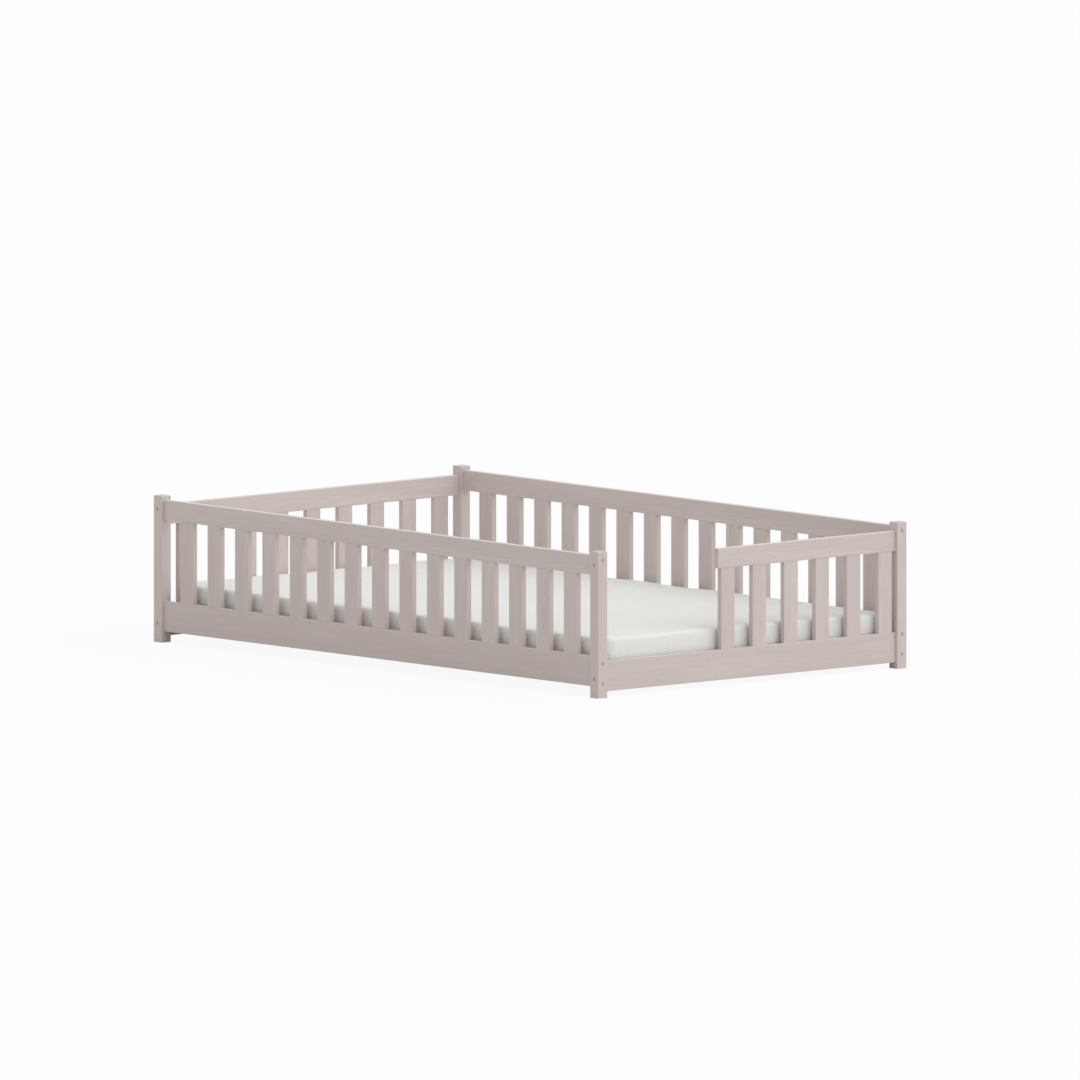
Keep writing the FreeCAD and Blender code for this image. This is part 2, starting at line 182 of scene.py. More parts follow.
class ShaderBench:
    """A node tree that is being wired, with the one method that adds nodes to it."""

    EDGE_TURN: ClassVar[Pair] = (0.01, 0.25)

    def __init__(self, tree: bpy.types.NodeTree) -> None:
        """Start with an empty tree."""
        tree.nodes.clear()
        self.tree = tree

    def add(
        self,
        kind: str,
        settings: Mapping[str, Any],
        inputs: Mapping[Socket, Any],
        output: Socket = 0,
    ) -> Shade:
        """Add a node.

        Args:
            kind: The node's type.
            settings: The node's own settings, set before its sockets.
            inputs: Values or links of its input sockets, by number, name or identifier.
            output: The output socket that is wanted.

        Returns:
            The wanted output socket.
        """
        node = self.tree.nodes.new(kind)
        for name, value in settings.items():
            setattr(node, name, value)
        for key, value in inputs.items():
            socket = self._find(node.inputs, key)
            if isinstance(value, Shade):
                self.tree.links.new(value.socket, socket)
            else:
                socket.default_value = value
        return Shade(self, self._find(node.outputs, output) if len(node.outputs) else None)

    @staticmethod
    def _find(sockets: Any, key: Socket) -> bpy.types.NodeSocket:
        """A socket by its number, its identifier or its name.

        Args:
            sockets: A node's inputs or outputs.
            key: What to look for.

        Returns:
            The socket.
        """
        if isinstance(key, int):
            return sockets[key]
        return next(socket for socket in sockets if key in (socket.identifier, socket.name))

    def place(self) -> Shade:
        """Where a point of the surface lies, in metres."""
        return self.add("ShaderNodeTexCoord", {}, {}, "Object")

    def facing(self) -> Shade:
        """The way that the surface faces."""
        return self.add("ShaderNodeNewGeometry", {}, {}, "Normal")

    def split(self, vector: Shade) -> dict[str, Shade]:
        """The three parts of a vector, by the names of the axes."""
        node = self.add("ShaderNodeSeparateXYZ", {}, {"Vector": vector}).socket.node
        return {axis: Shade(self, node.outputs[axis]) for axis in AXES}

    def join(self, x: Number, y: Number, z: Number) -> Shade:
        """A vector from its three parts."""
        return self.add("ShaderNodeCombineXYZ", {}, {"X": x, "Y": y, "Z": z})

    def vector(self, operation: str, *values: Any, output: Socket = "Vector") -> Shade:
        """A Vector Math node that works on the given values."""
        return self.add("ShaderNodeVectorMath", {"operation": operation}, dict(enumerate(values)), output)

    def noise(self, vector: Shade, scale: float, detail: float = 2.0) -> Shade:
        """Soft noise around zero.

        Args:
            vector: Where the noise is read.
            scale: How many lumps lie along a unit.
            detail: How many finer layers are added.

        Returns:
            Noise from about -0.5 to 0.5.
        """
        return self.add("ShaderNodeTexNoise", {}, {"Vector": vector, "Scale": scale, "Detail": detail}) - 0.5

    def blend(self, share: Number, first: Any, second: Any) -> Shade:
        """A mix of two colours.

        Args:
            share: How much of the second colour is taken.
            first: The colour at 0.
            second: The colour at 1.

        Returns:
            The mixed colour.
        """
        sockets = {"Factor_Float": share, "A_Color": first, "B_Color": second}
        return self.add("ShaderNodeMix", {"data_type": "RGBA"}, sockets, "Result_Color")

    def rounded_edge(self) -> Shade:
        """Tell rounded edges from flat faces.

        Returns:
            1 where an edge turns from one flat face to the next, 0 on the flat faces.
        """
        parts = self.split(self.facing())
        flat = abs(parts["X"]).larger(abs(parts["Y"])).larger(abs(parts["Z"]))
        return (1 - flat).ease(*self.EDGE_TURN)

    def relief(self, height: Shade, depth: float, strength: float) -> Shade:
        """A normal for small ups and downs of the surface.

        Args:
            height: The height, from 0 to 1.
            depth: How deep the relief is, in metres.
            strength: How much of it shows.

        Returns:
            The bumped normal.
        """
        return self.add("ShaderNodeBump", {}, {"Height": height, "Distance": depth, "Strength": strength})

    def surface(self, sockets: Mapping[Socket, Any]) -> None:
        """Close the tree with a principled surface."""
        shader = self.add("ShaderNodeBsdfPrincipled", {}, sockets)
        self.add("ShaderNodeOutputMaterial", {}, {"Surface": shader})


def new_material(name: str) -> tuple[bpy.types.Material, ShaderBench]:
    """A new material and the bench for its nodes.

    Args:
        name: The material's name.

    Returns:
        The material and its bench.
    """
    material = bpy.data.materials.new(name)
    material.use_nodes = True
    return material, ShaderBench(material.node_tree)


def dress(node: bpy.types.Object, material: bpy.types.Material) -> None:
    """Give a piece one material all over.

    Args:
        node: The piece.
        material: What it gets.
    """
    slots = node.material_slots
    if not slots:
        node.data.materials.append(material)
        return
    for slot in slots:
        slot.material = material


class Grain(Enum):
    """The axes of a board's length, width and thickness, in that order: the fibres follow its length."""

    RAIL_ALONG_X = "XZY"
    RAIL_ALONG_Y = "YZX"
    UPRIGHT_ALONG_X = "ZXY"
    UPRIGHT_ALONG_Y = "ZYX"
    FLAT_ALONG_X = "XYZ"
    FLAT_ALONG_Y = "YXZ"


@dataclass(frozen=True)
class BoardPlace:
    """A point's place in its board, from the board's middle, and three chance values of the board's own."""

    along: Shade
    across: Shade
    through: Shade
    luck: Mapping[str, Shade]


@dataclass(frozen=True)
class BoardGrid:
    """How boards of one kind repeat, so that each has its own grain, and which draw of boards is taken."""

    first: Triple
    pitch: Triple
    draw: int = 0

    UNSPLIT: ClassVar[float] = 8.0

    @classmethod
    def over(cls, start: Vector, steps: Mapping[str, float]) -> "BoardGrid":
        """A grid that repeats along some axes.

        Args:
            start: The middle of the first board.
            steps: The distance from a board to the next, for each axis along which boards repeat.

        Returns:
            The grid.
        """
        first = tuple(start[index] if axis in steps else 0.0 for index, axis in enumerate(AXES))
        pitch = tuple(steps.get(axis, cls.UNSPLIT) for axis in AXES)
        return cls(first, pitch)

    @classmethod
    def between(cls, near: str, far: str, axes: str) -> "BoardGrid":
        """A grid set by two nodes.

        Args:
            near: The first node.
            far: A node that lies one board further along each of the axes.
            axes: The axes along which boards repeat.

        Returns:
            The grid.
        """
        start = middle(near)
        apart = middle(far) - start
        return cls.over(start, {axis: apart[AXES.index(axis)] for axis in axes})

    def wire(self, bench: ShaderBench, grain: Grain) -> BoardPlace:
        """Add the nodes that tell boards apart.

        Args:
            bench: The tree to add to.
            grain: How the boards lie.

        Returns:
            The place within a board, and the board's chance values.
        """
        steps_per_metre = tuple(1 / step for step in self.pitch)
        draws = (0, 0, self.draw)
        shift = tuple(0.5 - start / step + draw for start, step, draw in zip(self.first, self.pitch, draws))
        cells = bench.vector("MULTIPLY_ADD", bench.place(), steps_per_metre, shift)
        chance = bench.add("ShaderNodeTexWhiteNoise", {}, {"Vector": bench.vector("FLOOR", cells)}, "Color")
        inside = bench.vector("SUBTRACT", bench.vector("FRACTION", cells), (0.5, 0.5, 0.5))
        parts = bench.split(bench.vector("MULTIPLY", inside, self.pitch))
        along, across, through = (parts[axis] for axis in grain.value)
        return BoardPlace(along, across, through, bench.split(chance))


@dataclass(frozen=True)
class PineFinish:
    """Pine boards, bare or stained: growth rings, fibres, knots, rounded edges lighter partly from wear and
    partly as a painted highlight, and a painted highlight on upward faces high on the frame.
    """

    name: str
    early: Colour
    late: Colour
    blush: Colour
    # Colour of worn edges, also used for the painted highlights.
    rubbed_and_highlight: Colour
    knot: Colour
    ring_share: float
    fibre_share: float
    uneven_share: float
    board_share: float
    knot_share: float
    # How much rounded edges are lightened: partly wear, partly a painted highlight.
    wear_and_highlight_share: float
    roughness: float
    # Strength of the painted highlight on upward faces high on the frame.
    painted_highlight_share: float = 0.0
    ring_width: float = 0.0042
    heart_spread: float = 0.09
    heart_depth: float = 0.016
    heart_range: float = 0.045
    wander: float = 0.05
    drift_scale: float = 1.4
    ripple_scales: Pair = (9.0, 30.0)
    ripple_share: float = 0.9
    ring_luck: float = 40.0
    late_rise: Pair = (0.25, 0.88)
    late_fall: Pair = (0.9, 1.0)
    late_mean: float = 0.4
    fibre_scales: Pair = (7.0, 420.0)
    cloud_scales: Pair = (2.5, 16.0)
    streak_scales: Pair = (1.1, 60.0)
    noise_luck: float = 50.0
    blush_luck: float = 0.4
    blush_range: Pair = (-0.15, 0.55)
    blush_share: float = 0.5
    end_grain_range: Pair = (0.8, 0.95)
    end_grain_share: float = 0.35
    wear_and_highlight_base: float = 0.7
    # Which upward faces and heights take the painted highlight.
    painted_highlight_facing: Pair = (0.3, 0.9)
    painted_highlight_height: Pair = (0.3, 0.4)
    knot_cell: Triple = (0.42, 0.11, 0.11)
    knot_stretch: Triple = (0.55, 1.0, 0.4)
    knot_luck: float = 30.0
    knot_jitter: float = 0.9
    knot_presence: Pair = (0.55, 0.6)
    knot_radius: float = 0.008
    knot_rim: Pair = (1.25, 0.75)
    swirl_reach: float = 4.5
    swirl_share: float = 1.2
    ring_relief: float = 0.35
    fibre_relief: float = 0.6
    relief_depth: float = 0.0003
    relief_strength: float = 0.5
    fibre_roughness: float = 0.12
    late_gloss: float = 0.05
    rub_gloss: float = 0.1
    specular: float = 0.4

    def material(self, grain: Grain, boards: BoardGrid, kind: str) -> bpy.types.Material:
        """The finish on boards of one kind.

        Args:
            grain: How the boards lie.
            boards: How the boards repeat.
            kind: A word for the boards, for the material's name.

        Returns:
            The material.
        """
        material, bench = new_material(f"{self.name}_{kind}")
        board = boards.wire(bench, grain)
        luck = board.luck
        knot, swirl = self._knots(bench, board)
        late = self._rings(bench, board, swirl)
        fibre = self._drawn_out(bench, board, self.fibre_scales, luck["X"], 3.0)
        cloud = self._drawn_out(bench, board, self.cloud_scales, luck["Y"], 2.0)
        streak = self._drawn_out(bench, board, self.streak_scales, luck["Z"], 2.0)
        uneven = (cloud + streak) * self.uneven_share + (luck["Z"] - 0.5) * self.board_share
        tone = self.late_mean + (late - self.late_mean) * self.ring_share + fibre * self.fibre_share + uneven
        colour = bench.blend(tone, self.early, self.late)
        blush = (cloud - streak + self.blush_luck * luck["X"]).ease(*self.blush_range) * self.blush_share
        colour = bench.blend(blush, colour, self.blush)
        colour = bench.blend(knot * self.knot_share, colour, self.knot)
        face = bench.split(bench.facing())
        end_grain = abs(face[grain.value[0]]).ease(*self.end_grain_range)
        colour = bench.blend(end_grain * self.end_grain_share, colour, self.late)
        # Rounded edges lightened: partly wear, partly a painted highlight.
        wear_and_highlight = bench.rounded_edge() * (fibre + cloud + self.wear_and_highlight_base) * self.wear_and_highlight_share
        colour = bench.blend(wear_and_highlight, colour, self.rubbed_and_highlight)
        # Painted highlight: faces that look up, high on the frame and not end grain, are made lighter as if
        # lit from above.
        within_reach = bench.split(bench.place())["Z"].ease(*self.painted_highlight_height)
        painted_highlight = face["Z"].ease(*self.painted_highlight_facing) * (1 - end_grain) * within_reach
        colour = bench.blend(painted_highlight * self.painted_highlight_share, colour, self.rubbed_and_highlight)
        height = 0.5 - late * (self.ring_relief * self.ring_share) + fibre * self.fibre_relief
        gloss = late * self.late_gloss + wear_and_highlight * self.rub_gloss
        sockets = {
            "Base Color": colour,
            "Roughness": self.roughness + fibre * self.fibre_roughness - gloss,
            "Normal": bench.relief(height, self.relief_depth, self.relief_strength),
            "Specular IOR Level": self.specular,
        }
        bench.surface(sockets)
        return material

    def _drawn_out(
        self,
        bench: ShaderBench,
        board: BoardPlace,
        scales: Pair,
        chance: Shade,
        detail: float,
    ) -> Shade:
        """Noise that is drawn out along the fibres.

        Args:
            bench: The tree to add to.
            board: The place in the board.
            scales: How many lumps lie on a metre along the fibres, and on a metre across them.
            chance: The board's chance value that shifts the noise.
            detail: How many finer layers are added.

        Returns:
            Noise from about -0.5 to 0.5.
        """
        lengthwise, crosswise = scales
        along = board.along * lengthwise + chance * self.noise_luck
        spot = bench.join(along, board.across * crosswise, board.through * crosswise)
        return bench.noise(spot, 1.0, detail)

    def _rings(self, bench: ShaderBench, board: BoardPlace, swirl: Shade) -> Shade:
        """Growth rings round a heart that lies outside the board and wanders along it.

        Args:
            bench: The tree to add to.
            board: The place in the board.
            swirl: How far the rings bend round a knot.

        Returns:
            1 in the dark late wood of each ring, 0 in the pale early wood.
        """
        luck = board.luck
        places = {axis: chance * self.ring_luck for axis, chance in luck.items()}
        lengthwise, crosswise = self.ripple_scales
        drift = bench.noise(bench.join(board.along * self.drift_scale, places["X"], places["Y"]), 1.0, 1.5)
        ripple_place = bench.join(board.along * lengthwise, board.across * crosswise, places["Z"])
        ripple = bench.noise(ripple_place, 1.0, 2.0)
        sideways = board.across + (luck["X"] - 0.5) * self.heart_spread
        deep = board.through + luck["Y"] * self.heart_range + self.heart_depth + drift * self.wander
        radius = bench.vector("LENGTH", bench.join(sideways, deep, 0.0), output="Value")
        ring = ((radius + swirl) / self.ring_width + ripple * self.ripple_share).fraction()
        return ring.ease(*self.late_rise) - ring.ease(*self.late_fall)

    def _knots(self, bench: ShaderBench, board: BoardPlace) -> tuple[Shade, Shade]:
        """Knots at chance places, with fewer on some boards.

        Args:
            bench: The tree to add to.
            board: The place in the board.

        Returns:
            1 within a knot, and how far the rings bend round it, in metres.
        """
        cell_along, cell_across, cell_through = self.knot_cell
        spot = bench.join(
            board.along / cell_along + board.luck["Y"] * self.knot_luck,
            board.across / cell_across + board.luck["Z"] * self.knot_luck,
            board.through / cell_through + board.luck["X"] * self.knot_luck,
        )
        spread = {"Vector": spot, "Scale": 1.0, "Randomness": self.knot_jitter}
        cells = bench.add("ShaderNodeTexVoronoi", {}, spread, "Position")
        chance = bench.split(Shade(bench, cells.socket.node.outputs["Color"]))
        present = chance["X"].ease(*self.knot_presence)
        stretch = tuple(cell * share for cell, share in zip(self.knot_cell, self.knot_stretch))
        offset = bench.vector("MULTIPLY", bench.vector("SUBTRACT", spot, cells), stretch)
        distance = bench.vector("LENGTH", offset, output="Value")
        outside, inside = (self.knot_radius * share for share in self.knot_rim)
        knot = distance.ease(outside, inside) * present
        bend = distance.ease(self.knot_radius * self.swirl_reach, 0.0) * present
        return knot, bend * (self.knot_radius * self.swirl_share)


@dataclass(frozen=True)
class CapFinish:
    """Moulded plastic cover caps in the colour of the stain."""

    name: str = "cap_plastic"
    face: Colour = paint(181, 168, 161)
    shadow: Colour = paint(168, 154, 147)
    rim: Colour = paint(197, 186, 180)
    speck_scale: float = 2600.0
    patch_scale: float = 160.0
    speck_share: float = 0.5
    mottle_range: Pair = (-0.35, 0.45)
    rim_share: float = 0.6
    roughness: float = 0.46
    speck_roughness: float = 0.1
    rim_gloss: float = 0.08
    relief_depth: float = 0.00008
    relief_strength: float = 0.5

    def material(self) -> bpy.types.Material:
        """The finish as a material.

        Returns:
            The material.
        """
        material, bench = new_material(self.name)
        place = bench.place()
        speck = bench.noise(place, self.speck_scale, 2.0)
        patch = bench.noise(place, self.patch_scale, 2.0)
        mottle = (patch + speck * self.speck_share).ease(*self.mottle_range)
        colour = bench.blend(mottle, self.shadow, self.face)
        rim = bench.rounded_edge()
        sockets = {
            "Base Color": bench.blend(rim * self.rim_share, colour, self.rim),
            "Roughness": self.roughness + speck * self.speck_roughness - rim * self.rim_gloss,
            "Normal": bench.relief(speck + 0.5, self.relief_depth, self.relief_strength),
        }
        bench.surface(sockets)
        return material


@dataclass(frozen=True)
class SteelFinish:
    """Zinc-plated steel screws."""

    name: str = "screw_steel"
    bright: Colour = paint(206, 205, 200)
    dull: Colour = paint(158, 157, 154)
    bloom_scale: float = 420.0
    scratch_scales: Triple = (300.0, 2600.0, 900.0)
    scratch_share: float = 0.6
    wear_range: Pair = (-0.4, 0.4)
    roughness: float = 0.32
    bloom_roughness: float = 0.16
    scratch_roughness: float = 0.14
    relief_depth: float = 0.00004
    relief_strength: float = 0.5

    def material(self) -> bpy.types.Material:
        """The finish as a material.

        Returns:
            The material.
        """
        material, bench = new_material(self.name)
        place = bench.place()
        bloom = bench.noise(place, self.bloom_scale, 3.0)
        scratch = bench.noise(bench.vector("MULTIPLY", place, self.scratch_scales), 1.0, 2.0)
        wear = (bloom + scratch * self.scratch_share).ease(*self.wear_range)
        sockets = {
            "Base Color": bench.blend(wear, self.dull, self.bright),
            "Metallic": 1.0,
            "Roughness": self.roughness + bloom * self.bloom_roughness + scratch * self.scratch_roughness,
            "Normal": bench.relief(scratch + 0.5, self.relief_depth, self.relief_strength),
        }
        bench.surface(sockets)
        return material


@dataclass(frozen=True)
class CoverFinish:
    """White woven cotton of the mattress cover."""

    name: str = "cover_cloth"
    white: Colour = paint(238, 239, 236)
    hollow: Colour = paint(228, 229, 226)
    thread_pitch: float = 0.0011
    slub_scales: Triple = (900.0, 45.0, 300.0)
    cloud_scale: float = 7.0
    pucker_scales: Triple = (26.0, 26.0, 14.0)
    upright_range: Pair = (0.3, 1.0)
    mean_tone: float = 0.72
    weave_tone: float = 0.16
    slub_tone: float = 0.25
    cloud_tone: float = 0.3
    weave_relief: float = 0.5
    slub_relief: float = 0.3
    pucker_relief: float = 14.0
    relief_depth: float = 0.00025
    relief_strength: float = 0.35
    roughness: float = 0.88
    slub_roughness: float = 0.08
    sheen: float = 0.12
    sheen_roughness: float = 0.5
    specular: float = 0.25

    def material(self) -> bpy.types.Material:
        """The finish as a material.

        Returns:
            The material.
        """
        material, bench = new_material(self.name)
        place = bench.place()
        parts = bench.split(place)
        face = bench.split(bench.facing())
        threads = {axis: (parts[axis] * (math.tau / self.thread_pitch)).wave() for axis in AXES}
        weave = threads["X"] * threads["Y"] * abs(face["Z"])
        weave = weave + threads["Y"] * threads["Z"] * abs(face["X"])
        weave = weave + threads["X"] * threads["Z"] * abs(face["Y"])
        slub = bench.noise(bench.vector("MULTIPLY", place, self.slub_scales), 1.0, 2.0)
        cloud = bench.noise(place, self.cloud_scale, 2.0)
        upright = (1 - abs(face["Z"])).ease(*self.upright_range)
        pucker = bench.noise(bench.vector("MULTIPLY", place, self.pucker_scales), 1.0, 1.0) * upright
        tone = self.mean_tone + weave * self.weave_tone + slub * self.slub_tone + cloud * self.cloud_tone
        height = weave * self.weave_relief + slub * self.slub_relief + pucker * self.pucker_relief
        sockets = {
            "Base Color": bench.blend(tone, self.hollow, self.white),
            "Roughness": self.roughness + slub * self.slub_roughness,
            "Normal": bench.relief(height, self.relief_depth, self.relief_strength),
            "Sheen Weight": self.sheen,
            "Sheen Roughness": self.sheen_roughness,
            "Specular IOR Level": self.specular,
        }
        bench.surface(sockets)
        return material


STAINED_PINE = PineFinish(
    name="stained_pine",
    early=paint(216, 205, 200),
    late=paint(192, 179, 174),
    blush=paint(208, 193, 190),
    # Colour of worn edges and of the painted highlights.
    rubbed_and_highlight=paint(222, 213, 208),
    knot=paint(172, 154, 146),
    ring_share=0.24,
    fibre_share=0.5,
    uneven_share=0.55,
    board_share=0.2,
    knot_share=0.08,
    wear_and_highlight_share=0.45,
    roughness=0.52,
    # Painted highlight along the tops of the top rails.
    painted_highlight_share=0.9,
)

PLAIN_PINE = PineFinish(
    name="plain_pine",
    early=paint(233, 209, 172),
    late=paint(203, 160, 110),
    blush=paint(226, 192, 150),
    rubbed_and_highlight=paint(238, 217, 184),
    knot=paint(132, 84, 48),
    ring_share=0.55,
    fibre_share=0.5,
    uneven_share=0.5,
    board_share=0.3,
    knot_share=0.8,
    wear_and_highlight_share=0.3,
    roughness=0.6,
)


@dataclass
class CornerPosts:
    """The four square posts, stained like the fence."""

    finish: PineFinish = STAINED_PINE
    names: tuple[str, ...] = ("front_left", "front_right", "back_right", "back_left")
    draw: int = 16

    def dress(self, frame: Frame) -> int:
        """Stain the posts, with the grain upright.

        Args:
            frame: The loaded frame.

        Returns:
            How many nodes were dressed.
        """
        boards = replace(BoardGrid.between("post_front_left", "post_back_right", "XY"), draw=self.draw)
        material = self.finish.material(Grain.UPRIGHT_ALONG_X, boards, "posts")
        for name in self.names:
            dress(frame["nodes"][f"post_{name}"], material)
        return len(self.names)


@dataclass
class FencePanel:
    """One side of the fence: a bottom and a top rail with a row of slats between them."""

    name: str
    opposite: str
    rail_grain: Grain
    slat_grain: Grain
    slat_like: Optional[str] = None
    finish: PineFinish = STAINED_PINE

    @property
    def run(self) -> str:
        """The axis along which the panel runs."""
        return self.rail_grain.value[0]

    @property
    def crosswise(self) -> str:
        """The level axis across the panel."""
        return self.rail_grain.value[2]

    def dress(self, frame: Frame) -> int:
        """Stain the rails along their length and the slats upright.

        Args:
            frame: The loaded frame.

        Returns:
            How many nodes were dressed.
        """
        rails = self._rail_material()
        slats = self._slat_material()
        names = [name for name in frame["nodes"] if name.startswith(self.name + "_")]
        rail_names = [name for name in names if name.endswith("_rail")]
        slat_names = [name for name in names if "_slat" in name]
        for name in rail_names:
            dress(frame["nodes"][name], rails)
        for name in slat_names:
            dress(frame["nodes"][name], slats)
        return len(rail_names) + len(slat_names)

    def _to_opposite(self) -> float:
        """How far the opposite panel lies from this one."""
        here, there = (middle(f"{name}_bottom_rail") for name in (self.name, self.opposite))
        return (there - here)[AXES.index(self.crosswise)]

    def _rail_material(self) -> bpy.types.Material:
        """The stain on the rails, told apart by their height.

        Returns:
            The material.
        """
        bottom, top = (middle(f"{self.name}_{level}_rail") for level in ("bottom", "top"))
        steps = {"Z": top.z - bottom.z, self.crosswise: self._to_opposite()}
        return self.finish.material(self.rail_grain, BoardGrid.over(bottom, steps), f"{self.name}_rails")

    def _slat_material(self) -> bpy.types.Material:
        """The stain on the slats, told apart by their place in the row.

        Returns:
            The material.
        """
        row = self.slat_like or self.name
        first, second = (middle(f"{row}_slat_{number}") for number in ("01", "02"))
        along, across = AXES.index(self.run), AXES.index(self.crosswise)
        start = first.copy()
        start[across] = middle(f"{self.name}_bottom_rail")[across]
        steps = {self.run: second[along] - first[along], self.crosswise: self._to_opposite()}
        return self.finish.material(self.slat_grain, BoardGrid.over(start, steps), f"{self.name}_slats")


@dataclass
class Base:
    """What carries the mattress: ledgers, cross slats, a centre beam and its feet, in plain pine."""

    finish: PineFinish = PLAIN_PINE
    slat_count: int = 16
    slat_width: float = 0.070
    foot_count: int = 3
    foot_diameter: float = 0.044

    def dress(self, frame: Frame) -> int:
        """Finish the base.

        Args:
            frame: The loaded frame.

        Returns:
            How many nodes were dressed.
        """
        beams = BoardGrid.between("front_ledger", "centre_beam", "Y")
        long_pieces = self.finish.material(Grain.FLAT_ALONG_X, beams, "beams")
        slats = self._row("base_slats", self.slat_count, self.slat_width)
        slat_pieces = self.finish.material(Grain.FLAT_ALONG_Y, slats, "base_slats")
        feet = self._row("centre_feet", self.foot_count, self.foot_diameter)
        foot_pieces = self.finish.material(Grain.UPRIGHT_ALONG_X, feet, "feet")
        given = {
            "front_ledger": long_pieces,
            "back_ledger": long_pieces,
            "centre_beam": long_pieces,
            "base_slats": slat_pieces,
            "centre_feet": foot_pieces,
            "rail_dowels": foot_pieces,
        }
        for name, material in given.items():
            dress(frame["nodes"][name], material)
        return len(given)

    @staticmethod
    def _row(node: str, count: int, width: float) -> BoardGrid:
        """The grid of a group whose pieces stand in a row along X.

        Args:
            node: The group's node.
            count: How many pieces it has.
            width: How wide a piece is along the row.

        Returns:
            The grid.
        """
        low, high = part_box(node)
        start = (low + high) / 2
        start.x = low.x + width / 2
        return BoardGrid.over(start, {"X": (high.x - low.x - width) / (count - 1)})


@dataclass
class Fasteners:
    """The screws and the caps over them."""

    steel: SteelFinish = SteelFinish()
    plastic: CapFinish = CapFinish()

    def dress(self, frame: Frame) -> int:
        """Finish the screws and caps.

        Args:
            frame: The loaded frame.

        Returns:
            How many nodes were dressed.
        """
        steel = self.steel.material()
        screws = ("rail_screws", "ledger_screws", "base_screws")
        for name in screws:
            dress(frame["nodes"][name], steel)
        dress(frame["nodes"]["screw_caps"], self.plastic.material())
        return len(screws) + 1


